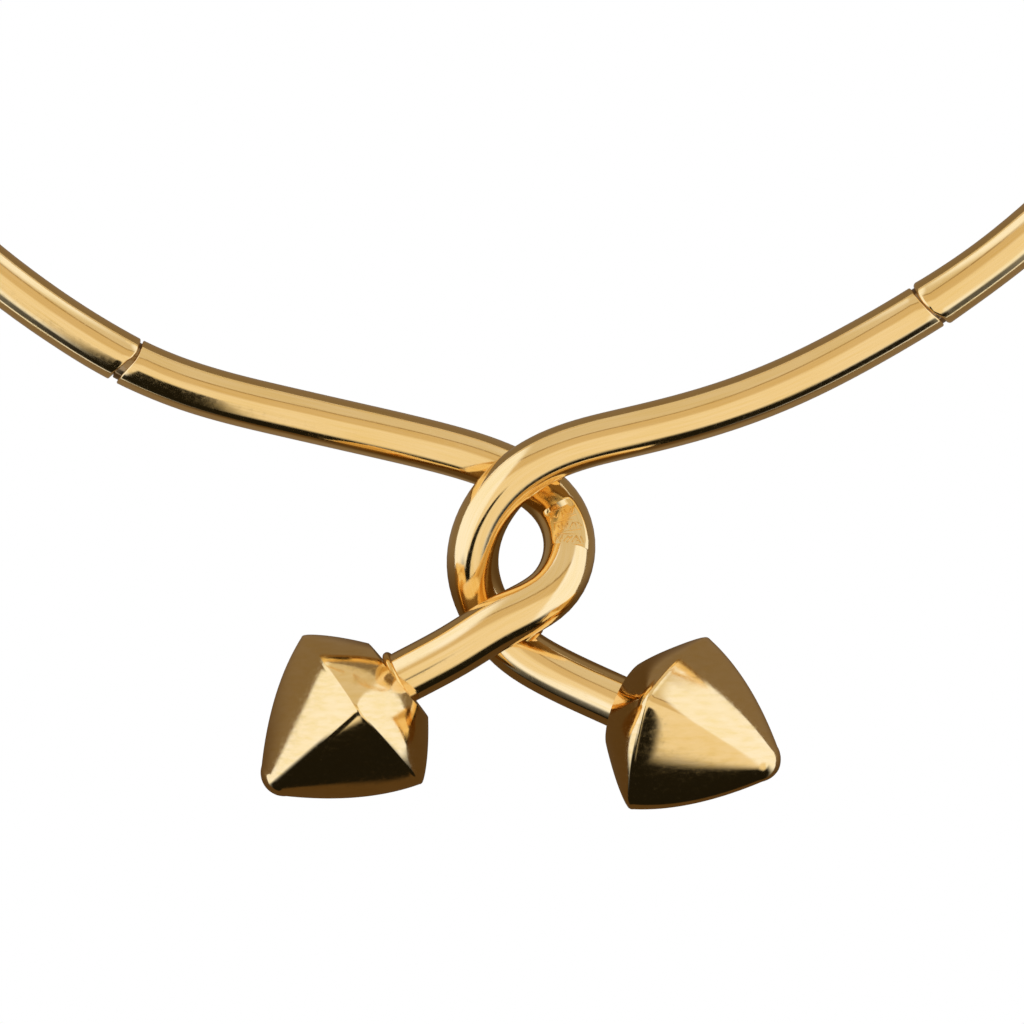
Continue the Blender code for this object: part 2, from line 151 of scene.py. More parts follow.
LEFT_TERMINAL = {"heading": -141.0, "tilt": -1.0, "roll": -3.0}
RIGHT_TERMINAL = {"heading": -22.0, "tilt": 19.0, "roll": 9.0}
TERMINAL_SEGMENTS = 224
DOME_STEP_DEG = 4.0
BACK_SHARES = (0.02, 0.3, 0.6, 0.9)
GIRDLE_STEPS = 6
POINT_STEPS = 44
NOSE_STEPS = 10

# Wear of the polish: scales of the noises, their heights in scratch depths, and their roughness
TUBE_LINES = (70.0, 170.0, 1.0)
TERMINAL_LINES = (700.0, 2600.0, 900.0)
DENT_SCALE = 260.0
RIPPLE_SCALE = 900.0
DUST_SCALE = 2600.0
TONE_SCALE = 120.0
LINE_HEIGHT = 0.9
DENT_HEIGHT = 5.0
RIPPLE_HEIGHT = 0.55
POLISH_ROUGHNESS = 0.06
LINE_ROUGHNESS = 0.16
DUST_ROUGHNESS = 0.30

# Light and deep colour of the materials that aren't the torc's own gold: the solder, and the seam cores' dark
# bronze, which is painted shade
TONES = {
    "solder_gold": ((0.92, 0.62, 0.22), (0.86, 0.50, 0.12)),
    # Painted shade: the seam cores' gold darkened to bronze for the shade in the seam's recess
    "seam_core_painted_shade": ((0.42, 0.26, 0.10), (0.22, 0.13, 0.05)),
}

# Colours of the light tent and of the floor as the gold mirrors them
OVERHEAD = (0.98, 0.96, 0.98, 1.0)
BRIGHT = (1.12, 1.28, 1.85, 1.0)
BEIGE = (0.78, 0.75, 0.74, 1.0)
BEYOND = (0.76, 0.66, 0.52, 1.0)
BETWEEN = (0.40, 0.30, 0.18, 1.0)
FRONT_DARK = (0.012, 0.011, 0.008, 1.0)
# Painted shadow of the torc on the floor, seen only in the gold: brown, darker to the front
FLOOR_SHADOW = (0.25, 0.20, 0.155, 1.0)
FLOOR_SHADOW_FRONT = (0.105, 0.064, 0.028, 1.0)

# Where each of the tent's surfaces begins and ends, as parts of a direction
BAND_START = (0.60, 0.635)
BAND_END = (0.645, 0.69)
OVERHEAD_END = (0.12, 0.30)
SIDE_BOXES = (0.42, 0.54)
SLOT_TURN = math.radians(-114.0)
SLOT_WIDTH = (0.970, 0.990)
SLOT_TOP = (0.975, 0.93)
WALL_WIDTH = (0.50, 0.85)
WALL_TOP = (0.56, 0.36)

# The floor's painted shadow, brown in the gold, is an ellipse round the middle of the picture
PICTURE_MIDDLE = (2.0 * MM, -72.32 * MM, 0.0)
SHADOW_REACH = (75.0 * MM, 58.0 * MM)
SHADOW_END = (0.90, 1.04)
SHADOW_DARKENING = (0.15, 0.75)
BACK_WIDTH = (-0.90, -0.75)
FLOOR_SIZE = 12.0
FLOOR_DROP = 0.05 * MM
SENSOR_WIDTH = 36.0
CAMERA_CLIP = 50.0
SMALLEST = 1e-6


def length(name, description, default):
    return FloatProperty(name=name, description=description, default=default, min=0.0, unit="LENGTH",
                         precision=5)


class TorcTube(bpy.types.PropertyGroup):
    radius: length("Radius", "Outer radius of the tube", 2.02 * MM)
    leg_share: FloatProperty(name="Leg share", description="Thickness of the arms' last stretch",
                             default=1.05)
    leg_from: length("Leg from", "Length of the thicker last stretch", 14.0 * MM)
    step: length("Step", "Distance between the rings of the mesh", 0.7 * MM)
    segments: IntProperty(name="Segments", description="Sides of the tube", default=56, min=16)
    edge_round: length("Edge round", "Round on the edges of the seams", 0.16 * MM)
    collar_flare: FloatProperty(name="Collar flare", description="Thickening of the right collar at its seam",
                                default=0.05)


class TorcTerminal(bpy.types.PropertyGroup):
    corner_reach: length("Corner reach", "From the axis to a corner of the square", 7.65 * MM)
    point_length: length("Point length", "From the square to the nose", 11.4 * MM)
    nose_radius: length("Nose radius", "Round on the nose", 1.9 * MM)
    side_swell: length("Side swell", "How far the long edges bow out", 0.72 * MM)
    dome_length: length("Dome length", "From the back face to the square", 3.75 * MM)
    dome_close: length("Dome close", "From the square to where the bowl of the back would close", 6.0 * MM)
    dome_power: FloatProperty(name="Dome power", description="1 gives a cone, 2 a round bowl", default=1.2)
    girdle_round: length("Girdle round", "Round on the square's edge", 0.32 * MM)
    corner_soft: FloatProperty(name="Corner soft", description="How round the corners of the section are",
                               default=0.15)
    face_swell: FloatProperty(name="Face swell", description="How far the faces bow out", default=0.035)
    rounding_share: FloatProperty(
        name="Rounding share", description="Share of the point that keeps its edges", default=0.30)
    neck_ring: length("Neck ring", "Thickness of the solder ring round the tube at the back", 0.42 * MM)


class TorcGold(bpy.types.PropertyGroup):
    colour: FloatVectorProperty(name="Colour", description="Polished gold", subtype="COLOR", size=3, min=0.0,
                                max=1.0, default=(0.94, 0.69, 0.34))
    deep_colour: FloatVectorProperty(
        name="Deep colour", description="Redder gold in patches", subtype="COLOR", size=3, min=0.0,
        max=1.0, default=(0.86, 0.58, 0.20))
    scratch_depth: length("Scratch depth", "Of the fine polishing lines", 0.002 * MM)


class TorcStage(bpy.types.PropertyGroup):
    floor_colour: FloatVectorProperty(
        name="Floor", description="Colour of the floor", subtype="COLOR", size=3, min=0.0, max=1.0,
        default=(1.0, 1.0, 1.0))
    picture_width: length("Picture width", "Width that the camera sees", 81.92 * MM)
    camera_distance: length("Camera distance", "From the torc to the camera", 1.25)


# The ring's plane lies on the table as the left hinge says
def plane_to_table():
    joint = next(item for item in frame["joints"] if item["name"] == "left_hinge")
    axis = Vector(joint["axis"]).normalized()
    turn = Matrix.Rotation(-math.asin(axis.y), 4, "X")
    _, pin = hinge_place(LEFT_SEAM, LEFT_SEAM_HEADING)
    return Matrix.Translation(Vector(joint["pos_m"]) - turn @ pin) @ turn


def heading_vector(degrees):
    angle = math.radians(degrees)
    return Vector((math.cos(angle), math.sin(angle), 0.0))


def hinge_place(seam, seam_heading):
    """The seam's own frame (x along the tube towards the arm, y across, z up) and where its pin is."""
    along = heading_vector(seam_heading)
    across = Vector((0.0, 0.0, 1.0)).cross(along)
    centre = Vector((seam[0] * MM, seam[1] * MM, 0.0))
    turn = Matrix((along, across, Vector((0.0, 0.0, 1.0)))).transposed().to_4x4()
    return Matrix.Translation(centre) @ turn, centre - along * PIN_SETBACK + across * PIN_OFFSET


def smooth_line(knots):
    """Closely spaced points on the cubic spline through the knots, and their distances along it."""
    knots = np.array([tuple(knot) for knot in knots])
    chords = np.linalg.norm(np.diff(knots, axis=0), axis=1)
    count = len(knots)
    matrix = np.zeros((count, count))
    right = np.zeros((count, 3))
    matrix[0, :2] = 2.0, 1.0
    matrix[-1, -2:] = 1.0, 2.0
    right[0] = 3.0 * (knots[1] - knots[0]) / chords[0]
    right[-1] = 3.0 * (knots[-1] - knots[-2]) / chords[-1]
    for i in range(1, count - 1):
        before, after = 1.0 / chords[i - 1], 1.0 / chords[i]
        matrix[i, i - 1:i + 2] = before, 2.0 * (before + after), after
        right[i] = 3.0 * ((knots[i] - knots[i - 1]) * before**2 + (knots[i + 1] - knots[i]) * after**2)
    slopes = np.linalg.solve(matrix, right)
    fine = [knots[0]]
    for i, chord in enumerate(chords):
        for t in np.linspace(0.0, 1.0, POINTS_PER_CHORD + 1)[1:]:
            start = (1.0 + 2.0 * t) * (1.0 - t) ** 2 * knots[i] + t * (1.0 - t) ** 2 * chord * slopes[i]
            end = t * t * (3.0 - 2.0 * t) * knots[i + 1] + t * t * (t - 1.0) * chord * slopes[i + 1]
            fine.append(start + end)
    fine = np.array(fine)
    along = np.concatenate([[0.0], np.cumsum(np.linalg.norm(np.diff(fine, axis=0), axis=1))])
    return fine, along


def places_along(line, distances):
    fine, along = line
    return [Vector([np.interp(d, along, fine[:, axis]) for axis in range(3)]) for d in distances]


def crossing_step():
    return bpy.context.scene.torc_tube.radius + CROSSING_GAP


def neck_of(route):
    x, y, level = route[-1]
    return Vector((x * MM, y * MM, level * crossing_step()))


def arm_knots(seam, seam_heading, route):
    start = Vector((seam[0] * MM, seam[1] * MM, 0.0))
    knots = [start - heading_vector(seam_heading) * SEAM_OVERRUN, start]
    knots += [Vector((x * MM, y * MM, level * crossing_step())) for x, y, level in route]
    neck = (knots[-1] - knots[-2]).normalized()
    knots.append(knots[-1] + neck * NECK_OVERRUN)
    return knots


def collar_knots(seam, seam_heading, side):
    start = Vector((seam[0] * MM, seam[1] * MM, 0.0))
    back = 180.0 - math.degrees(math.asin(BACK_GAP / 2 / RING_RADIUS))
    knots = [start + heading_vector(seam_heading) * SEAM_OVERRUN, start]
    for degrees in np.linspace(RING_JOIN_DEG, back, RING_KNOTS):
        turn = math.radians(degrees)
        knots.append(Vector((side * math.sin(turn), -math.cos(turn), 0.0)) * RING_RADIUS)
    return knots


def extrude_row(shape, row):
    """Extrudes a closed row of points: gives the new row, in the same order, and the new faces."""
    edges = [shape.edges.get((vert, row[(i + 1) % len(row)])) for i, vert in enumerate(row)]
    out = bmesh.ops.extrude_edge_only(shape, edges=edges)["geom"]
    fresh = {item for item in out if isinstance(item, bmesh.types.BMVert)}
    faces = [item for item in out if isinstance(item, bmesh.types.BMFace)]
    row = [next(edge.other_vert(vert) for edge in vert.link_edges if edge.other_vert(vert) in fresh)
           for vert in row]
    return row, faces


def sweep(rings, segments, filed=None):
    """Extrudes a circle from ring to ring (place, direction, radius, distance), with a UV map along the tube.

    A filed stretch (from distance, to distance, height) has its top cut flat at that height over the middle.
    """
    shape = bmesh.new()
    uv = shape.loops.layers.uv.new("along_tube")
    up = Vector((0.0, 0.0, 1.0))
    made = bmesh.ops.create_circle(shape, cap_ends=False, radius=1.0, segments=segments)["verts"]
    unit = [vert.co.copy() for vert in made]
    row = list(made)
    corner = {}
    grown = []
    for index, (place, direction, radius, distance) in enumerate(rings):
        side = direction.cross(up).normalized()
        turn = Matrix((side, side.cross(direction), direction)).transposed()
        if index:
            row, faces = extrude_row(shape, row)
            grown += faces
        for i, vert in enumerate(row):
            at = unit[i] * radius
            if filed and filed[0] <= distance <= filed[1]:
                at.y = min(at.y, filed[2])
            vert.co = place + turn @ at
            corner[vert] = (i / segments, distance)
    for face in grown:
        seam = {corner[loop.vert][0] for loop in face.loops}
        for loop in face.loops:
            around, distance = corner[loop.vert]
            if around == 0.0 and max(seam) > 0.5:
                around = 1.0
            loop[uv].uv = (around, distance)
    bmesh.ops.holes_fill(shape, edges=[edge for edge in shape.edges if edge.is_boundary])
    bmesh.ops.recalc_face_normals(shape, faces=shape.faces)
    return shape


def slide_to_lip(shape, place, lip, blend, direction):
    """Slides the tube's first stretch along itself so that its end follows the lip across the tube."""
    back = place.inverted()
    across = [point[0] * MM for point in lip]
    stands = [point[1] * MM for point in lip]
    for vert in shape.verts:
        at = back @ vert.co
        if abs(at.x) < blend and at.length < 2.0 * blend:
            edge = np.interp(at.y, across, stands)
            share = (blend - direction * at.x) / blend
            at.x += edge * max(0.0, min(1.0, share))
            vert.co = place @ at


def distance_at(line, spot):
    """How far along the line its nearest point to a spot of the ring's plane is."""
    fine, along = line
    return along[int(np.argmin(np.hypot(fine[:, 0] - spot[0] * MM, fine[:, 1] - spot[1] * MM)))]


def frame_at(line, distance):
    """Local axes on the tube: x across it, y up out of it, z along it."""
    place, ahead = places_along(line, (distance, distance + PROBE))
    direction = (ahead - place).normalized()
    side = direction.cross(Vector((0.0, 0.0, 1.0))).normalized()
    turn = Matrix((side, side.cross(direction), direction)).transposed().to_4x4()
    return Matrix.Translation(place) @ turn


def polished(shape, name, laid, smooth_deg=40.0):
    shape.transform(laid)
    mesh = bpy.data.meshes.new(name)
    shape.to_mesh(mesh)
    shape.free()
    mesh.shade_smooth()
    mesh.set_sharp_from_angle(angle=math.radians(smooth_deg))
    item = bpy.data.objects.new(name, mesh)
    bpy.context.scene.collection.objects.link(item)
    return item


def fit(item, body, *nodes, material="polished_tube"):
    item.data.materials.append(gold_material(material))
    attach(item, body)
    if nodes:
        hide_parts(*nodes)
    return item


class Graph:
    """Short ways to add the maths nodes of one node tree."""

    def __init__(self, tree):
        self.nodes = tree.nodes
        self.links = tree.links

    def plug(self, value, socket):
        if isinstance(value, bpy.types.NodeSocket):
            self.links.new(value, socket)
        else:
            socket.default_value = value

    def maths(self, operation, first, second=0.0):
        node = self.nodes.new("ShaderNodeMath")
        node.operation = operation
        self.plug(first, node.inputs[0])
        self.plug(second, node.inputs[1])
        return node.outputs[0]

    def step(self, value, low, high):
        """Rises smoothly from 0 at low to 1 at high; high may be the smaller one."""
        node = self.nodes.new("ShaderNodeMapRange")
        node.interpolation_type = "SMOOTHSTEP"
        self.plug(value, node.inputs["Value"])
        node.inputs["From Min"].default_value = min(low, high)
        node.inputs["From Max"].default_value = max(low, high)
        node.inputs["To Min"].default_value = 0.0 if low < high else 1.0
        node.inputs["To Max"].default_value = 1.0 if low < high else 0.0
        return node.outputs["Result"]

    def blend(self, factor, first, second):
        node = self.nodes.new("ShaderNodeMix")
        node.data_type = "RGBA"
        self.plug(factor, node.inputs["Factor"])
        self.plug(first, node.inputs["A"])
        self.plug(second, node.inputs["B"])
        return node.outputs["Result"]

    def split(self, vector):
        node = self.nodes.new("ShaderNodeSeparateXYZ")
        self.links.new(vector, node.inputs[0])
        return node.outputs

    def size(self, x, y):
        squares = self.maths("ADD", self.maths("MULTIPLY", x, x), self.maths("MULTIPLY", y, y))
        return self.maths("SQRT", squares)

    def towards_front(self, x, y):
        """1 straight to the front, 0 to the sides, -1 to the back."""
        reach = self.maths("MAXIMUM", self.size(x, y), SMALLEST)
        return self.maths("DIVIDE", self.maths("MULTIPLY", y, -1.0), reach)


# Gold

def wear_group():
    """Fine polishing lines, soft dents from handling and tone patches, as heights and masks."""
    name = "polish_and_wear"
    if name in bpy.data.node_groups:
        return bpy.data.node_groups[name]
    group = bpy.data.node_groups.new(name, "ShaderNodeTree")
    face = group.interface
    face.new_socket("Along", in_out="INPUT", socket_type="NodeSocketVector")
    face.new_socket("Place", in_out="INPUT", socket_type="NodeSocketVector")
    for label in ("Height", "Roughness", "Tone"):
        face.new_socket(label, in_out="OUTPUT", socket_type="NodeSocketFloat")
    graph = Graph(group)
    maths = graph.maths
    entry = graph.nodes.new("NodeGroupInput")
    leave = graph.nodes.new("NodeGroupOutput")

    def noise(source, scale, detail=2.0):
        texture = graph.nodes.new("ShaderNodeTexNoise")
        texture.inputs["Scale"].default_value = scale
        texture.inputs["Detail"].default_value = detail
        graph.links.new(source, texture.inputs["Vector"])
        return texture.outputs["Fac"]

    lines = noise(entry.outputs["Along"], 1.0, 3.0)
    dents = noise(entry.outputs["Place"], DENT_SCALE, 1.0)
    ripple = noise(entry.outputs["Place"], RIPPLE_SCALE)
    dust = noise(entry.outputs["Place"], DUST_SCALE)
    height = maths("MULTIPLY", lines, LINE_HEIGHT)
    height = maths("ADD", height, maths("MULTIPLY", dents, DENT_HEIGHT))
    height = maths("ADD", height, maths("MULTIPLY", ripple, RIPPLE_HEIGHT))
    graph.links.new(height, leave.inputs["Height"])
    rough = maths("MULTIPLY", maths("POWER", lines, 3.0), LINE_ROUGHNESS)
    rough = maths("ADD", rough, maths("MULTIPLY", maths("POWER", dust, 4.0), DUST_ROUGHNESS))
    graph.links.new(maths("ADD", rough, POLISH_ROUGHNESS), leave.inputs["Roughness"])
    tone = maths("MULTIPLY", noise(entry.outputs["Place"], TONE_SCALE), 0.7)
    tone = maths("ADD", tone, maths("MULTIPLY", maths("POWER", lines, 2.0), 1.2))
    graph.links.new(maths("MINIMUM", tone, 1.0), leave.inputs["Tone"])
    return group


def gold_material(name):
    if name in bpy.data.materials:
        return bpy.data.materials[name]
    gold = bpy.context.scene.torc_gold
    material = bpy.data.materials.new(name)
    material.use_nodes = True
    nodes, links = material.node_tree.nodes, material.node_tree.links
    shader = nodes["Principled BSDF"]
    shader.inputs["Metallic"].default_value = 1.0
    coords = nodes.new("ShaderNodeTexCoord")
    wear = nodes.new("ShaderNodeGroup")
    wear.node_tree = wear_group()
    stretch = nodes.new("ShaderNodeMapping")
    if name == "polished_tube":
        stretch.inputs["Scale"].default_value = TUBE_LINES
        links.new(coords.outputs["UV"], stretch.inputs["Vector"])
    else:
        stretch.inputs["Scale"].default_value = TERMINAL_LINES
        links.new(coords.outputs["Object"], stretch.inputs["Vector"])
    links.new(stretch.outputs["Vector"], wear.inputs["Along"])
    links.new(coords.outputs["Object"], wear.inputs["Place"])
    links.new(wear.outputs["Roughness"], shader.inputs["Roughness"])
    tone = nodes.new("ShaderNodeMix")
    tone.data_type = "RGBA"
    light, deep = TONES.get(name, (gold.colour, gold.deep_colour))
    tone.inputs["A"].default_value = (*light, 1.0)
    tone.inputs["B"].default_value = (*deep, 1.0)
    links.new(wear.outputs["Tone"], tone.inputs["Factor"])
    links.new(tone.outputs["Result"], shader.inputs["Base Color"])
    bump = nodes.new("ShaderNodeBump")
    bump.inputs["Strength"].default_value = 1.0
    bump.inputs["Distance"].default_value = gold.scratch_depth
    links.new(wear.outputs["Height"], bump.inputs["Height"])
    links.new(bump.outputs["Normal"], shader.inputs["Normal"])
    return material


# Terminals

def fillet(before, corner, after, radius, steps):
    to_before = (before - corner).normalized()
    to_after = (after - corner).normalized()
    half = to_before.angle(to_after) / 2
    centre = corner + (to_before + to_after).normalized() * radius / math.sin(half)
    start = corner + to_before * radius / math.tan(half) - centre
    end = corner + to_after * radius / math.tan(half) - centre
    turn = start.angle(end)
    points = []
    for i in range(steps + 1):
        share = i / steps
        points.append(centre + (start * math.sin((1.0 - share) * turn) + end * math.sin(share * turn))
                      / math.sin(turn))
    return points


def terminal_profile(terminal):
    """Distance along the axis and reach of the corners, from the back face to the nose."""
    girdle = Vector((0.0, terminal.corner_reach))
    point = Vector((terminal.point_length, 0.0))
    outline = []
    for turn in np.radians(np.arange(0.0, NEARLY_CLOSED_DEG, DOME_STEP_DEG)):
        along = terminal.dome_length * math.cos(turn)
        reach = (1.0 - (along / terminal.dome_close) ** terminal.dome_power) ** (1.0 / terminal.dome_power)
        outline.append(Vector((-along, terminal.corner_reach * reach)))
    outline = [Vector((outline[0].x, outline[0].y * share)) for share in BACK_SHARES] + outline
    outline += fillet(outline[-1], girdle, point, terminal.girdle_round, GIRDLE_STEPS)
    taper = math.atan2(terminal.corner_reach, terminal.point_length)
    nose_centre = terminal.point_length - terminal.nose_radius / math.sin(taper)
    nose_start = nose_centre + terminal.nose_radius * math.sin(taper)
    start = outline[-1]
    for i in range(1, POINT_STEPS):
        share = i / POINT_STEPS
        flat = start.lerp(Vector((nose_start, terminal.nose_radius * math.cos(taper))), share)
        outline.append(flat + Vector((0.0, terminal.side_swell * 4.0 * share * (1.0 - share))))
    for share in np.linspace(0.0, 1.0, NOSE_STEPS):
        turn = taper + (math.radians(NEARLY_CLOSED_DEG) - taper) * share
        outline.append(Vector((nose_centre + terminal.nose_radius * math.sin(turn),
                               terminal.nose_radius * math.cos(turn))))
    return outline, nose_start


def section_squareness(terminal, along, nose_start):
    """1 at the girdle, where the section is square, and 0 at the neck and the nose, where it is round."""
    if along < 0.0:
        share = -along / terminal.dome_length
    else:
        rounding_from = nose_start * terminal.rounding_share
        share = max(0.0, (along - rounding_from) / (terminal.point_length - rounding_from))
        share *= share
    return 1.0 - min(1.0, share)


def terminal_place(terminal, neck, pose):
    tilt = math.radians(pose["tilt"])
    axis = heading_vector(pose["heading"]) * math.cos(tilt) + Vector((0.0, 0.0, math.sin(tilt)))
    side = axis.cross(Vector((0.0, 0.0, 1.0))).normalized()
    turn = Matrix((side, side.cross(axis), axis)).transposed().to_4x4()
    roll = Matrix.Rotation(math.pi + math.radians(pose["roll"]), 4, "Z")
    return Matrix.Translation(neck + axis * terminal.dome_length) @ turn @ roll


def terminal_shape(terminal, place):
    """A circle, extruded along the profile and pressed to the square section at each step."""
    outline, nose_start = terminal_profile(terminal)
    shape = bmesh.new()
    made = bmesh.ops.create_circle(shape, cap_ends=False, radius=1.0, segments=TERMINAL_SEGMENTS)
    row = list(made["verts"])
    angles = [math.atan2(vert.co.y, vert.co.x) for vert in row]
    for index, (along, reach) in enumerate(outline):
        if index:
            row, _ = extrude_row(shape, row)
        squareness = section_squareness(terminal, along, nose_start)
        soft = terminal.corner_soft
        for vert, turn in zip(row, angles):
            x, y = math.cos(turn), math.sin(turn)
            square = (math.hypot(1.0, soft) + soft) / (math.hypot(x, soft) + math.hypot(y, soft))
            square *= 1.0 + terminal.face_swell * math.sin(2.0 * turn) ** 2
            size = reach * (1.0 + (square - 1.0) * squareness)
            vert.co = (x * size, y * size, along)
    bmesh.ops.holes_fill(shape, edges=[edge for edge in shape.edges if edge.is_boundary])
    shape.transform(place)
    bmesh.ops.recalc_face_normals(shape, faces=shape.faces)
    return shape


def rings_on(line, distances, shares, radius):
    points = places_along(line, distances)
    ahead = places_along(line, [min(d + PROBE, line[1][-1]) for d in distances])
    behind = places_along(line, [max(d - PROBE, 0.0) for d in distances])
    return [(point, (after - before).normalized(), radius * share, distance)
            for point, after, before, share, distance in zip(points, ahead, behind, shares, distances)]


def rounded_edge(first, edge, radius):
    """Distances and shares of the radius of the rings that round off a tube at its seam."""
    turns = np.radians(np.linspace(0.0, 90.0, EDGE_STEPS))
    distances = [first + edge * (1.0 - math.cos(turn)) for turn in turns]
    shares = [1.0 - edge / radius * (1.0 - math.sin(turn)) for turn in turns]
    return distances, shares


class TORC_OT_arms(bpy.types.Operator):
    """Adds the two crossed arms, from their seams to their terminals"""
    bl_idname = "torc.arms"
    bl_label = "Arms"

    def execute(self, context):
        tube = context.scene.torc_tube
        laid = plane_to_table()
        for side, seam, heading, route, lip in (
            ("left", LEFT_SEAM, LEFT_SEAM_HEADING, LEFT_ARM_ROUTE, LEFT_ARM_LIP),
            ("right", RIGHT_SEAM, RIGHT_SEAM_HEADING, RIGHT_ARM_ROUTE, RIGHT_ARM_LIP),
        ):
            line = smooth_line(arm_knots(seam, heading, route))
            total = line[1][-1]
            count = round((total - SEAM_OVERRUN) / tube.step)
            edge = tube.edge_round
            distances, shares = rounded_edge(SEAM_OVERRUN, edge, tube.radius)
            places = list(np.linspace(SEAM_OVERRUN + edge, total, count + 1)[1:])
            filed = None
            if side == "left":
                filed = (distance_at(line, STAMP_START), distance_at(line, STAMP_END), STAMP_HEIGHT)
                places += [filed[0] - PATCH_RISE, filed[0], filed[1], filed[1] + PATCH_STEP]
            distances += sorted(places)
            for d in distances[EDGE_STEPS:]:
                grown = min(1.0, max(0.0, 2.0 - (total - d) / tube.leg_from))
                shares.append(1.0 + (tube.leg_share - 1.0) * grown)
            rings = rings_on(line, distances, shares, tube.radius)
            shape = sweep(rings, tube.segments, filed)
            slide_to_lip(shape, hinge_place(seam, heading)[0], lip, LIP_BLEND, 1.0)
            item = polished(shape, side + "_arm_tube", laid)
            fit(item, "front", side + "_arm")
        return {"FINISHED"}


class TORC_OT_collars(bpy.types.Operator):
    """Adds the two collars, from their seams round the neck to their rounded tips"""
    bl_idname = "torc.collars"
    bl_label = "Collars"

    def execute(self, context):
        tube = context.scene.torc_tube
        laid = plane_to_table()
        for side, sign, seam, heading, lip in (
            ("left", -1.0, LEFT_SEAM, LEFT_SEAM_HEADING, LEFT_COLLAR_LIP),
            ("right", 1.0, RIGHT_SEAM, RIGHT_SEAM_HEADING, RIGHT_COLLAR_LIP),
        ):
            line = smooth_line(collar_knots(seam, heading, sign))
            total = line[1][-1]
            edge = tube.edge_round * COLLAR_EDGE_SHARES[side]
            flare = tube.collar_flare if side == "right" else 0.0
            distances, shares = rounded_edge(SEAM_OVERRUN, edge, tube.radius)
            shares = [flare + share for share in shares]
            count = round((total - SEAM_OVERRUN) / (2.0 * tube.step))
            near_end = SEAM_OVERRUN + COLLAR_NEAR
            near = list(np.linspace(SEAM_OVERRUN + edge, near_end, COLLAR_NEAR_STEPS)[1:])
            far = list(np.linspace(near_end, total, count)[1:])
            distances += near + far
            for d in near + far:
                gone = min(1.0, (d - SEAM_OVERRUN) / FLARE_LENGTH)
                shares.append(1.0 + flare * (1.0 - gone) ** 2)
            rings = rings_on(line, distances, shares, tube.radius)
            tip, along = rings[-1][0], rings[-1][1]
            for turn in np.radians(np.linspace(0.0, NEARLY_CLOSED_DEG, TIP_STEPS)[1:]):
                past = tube.radius * math.sin(turn)
                rings.append((tip + along * past, along, tube.radius * math.cos(turn), total + past))
            shape = sweep(rings, tube.segments)
            slide_to_lip(shape, hinge_place(seam, heading)[0], lip, LIP_BLEND, -1.0)
            item = polished(shape, side + "_collar_tube", laid)
            fit(item, side + "_side", side + "_collar")
        return {"FINISHED"}


class TORC_OT_terminals(bpy.types.Operator):
    """Adds the two pyramid terminals"""
    bl_idname = "torc.terminals"
    bl_label = "Terminals"

    def execute(self, context):
        terminal = context.scene.torc_terminal
        laid = plane_to_table()
        back = laid.inverted()
        table = back @ Vector((0.0, 0.0, 0.0))
        normal = back.to_3x3() @ Vector((0.0, 0.0, 1.0))
        for side, route, pose in (("left", LEFT_ARM_ROUTE, LEFT_TERMINAL),
                                  ("right", RIGHT_ARM_ROUTE, RIGHT_TERMINAL)):
            shape = terminal_shape(terminal, terminal_place(terminal, neck_of(route), pose))
            bmesh.ops.bisect_plane(shape, geom=shape.verts[:] + shape.edges[:] + shape.faces[:],
                                   plane_co=table, plane_no=normal, clear_inner=True)
            bmesh.ops.holes_fill(shape, edges=[edge for edge in shape.edges if edge.is_boundary])
            item = polished(shape, side + "_terminal_point", laid)
            fit(item, "front", side + "_terminal", material="polished_terminal")
        return {"FINISHED"}


def ring_round(place, axis, radius, thickness, name, laid):
    """A ring of solder: a small circle spun round the tube's own axis."""
    side = axis.cross(Vector((0.0, 0.0, 1.0))).normalized()
    shape = bmesh.new()
    turn = Matrix((side, axis, side.cross(axis))).transposed().to_4x4()
    made = bmesh.ops.create_circle(shape, cap_ends=False, radius=thickness / 2, segments=NECK_RING_SIDES,
                                   matrix=Matrix.Translation(place + side * radius) @ turn)
    edges = list({edge for vert in made["verts"] for edge in vert.link_edges})
    bmesh.ops.spin(shape, geom=made["verts"] + edges, cent=place, axis=axis, angle=2.0 * math.pi,
                   steps=NECK_RING_STEPS, use_merge=True)
    bmesh.ops.remove_doubles(shape, verts=shape.verts, dist=0.001 * MM)
    bmesh.ops.recalc_face_normals(shape, faces=shape.faces)
    return polished(shape, name, laid)


def solder_bead(name, place, size, heading, laid):
    """A drop of solder that has flowed into a corner: a ball, flattened, turned and made uneven."""
    shape = bmesh.new()
    bmesh.ops.create_icosphere(shape, subdivisions=4, radius=1.0)
    for vert in shape.verts:
        x, y, z = vert.co
        waves = math.sin(5.0 * x + 2.0 * y) + math.sin(7.0 * y - 3.0 * z) + math.sin(6.0 * z + x)
        vert.co = Vector((x * size[0], y * size[1], z * size[2])) * MM * (1.0 + BEAD_LUMPS * waves)
    shape.transform(Matrix.Translation(place) @ Matrix.Rotation(math.radians(heading), 4, "Z"))
    return polished(shape, name, laid)


class TORC_OT_solder(bpy.types.Operator):
    """Adds the solder: a ring at each terminal's neck and the flowed beads where the arms cross"""
    bl_idname = "torc.solder"
    bl_label = "Solder"

    def execute(self, context):
        tube = context.scene.torc_tube
        terminal = context.scene.torc_terminal
        laid = plane_to_table()
        for side, seam, heading, route in (("left", LEFT_SEAM, LEFT_SEAM_HEADING, LEFT_ARM_ROUTE),
                                           ("right", RIGHT_SEAM, RIGHT_SEAM_HEADING, RIGHT_ARM_ROUTE)):
            knots = arm_knots(seam, heading, route)
            axis = (knots[-1] - knots[-2]).normalized()
            place = neck_of(route) - axis * NECK_RING_BACK
            item = ring_round(place, axis, tube.radius * tube.leg_share,
                              terminal.neck_ring * NECK_RING_SHARE, side + "_neck_ring", laid)
            fit(item, "front", material="solder_gold")
        for name, x, y, z, size, heading in SOLDER_BEADS:
            item = solder_bead(name, Vector((x, y, z)) * MM, size, heading, laid)
            fit(item, "front", material="solder_gold")
        return {"FINISHED"}


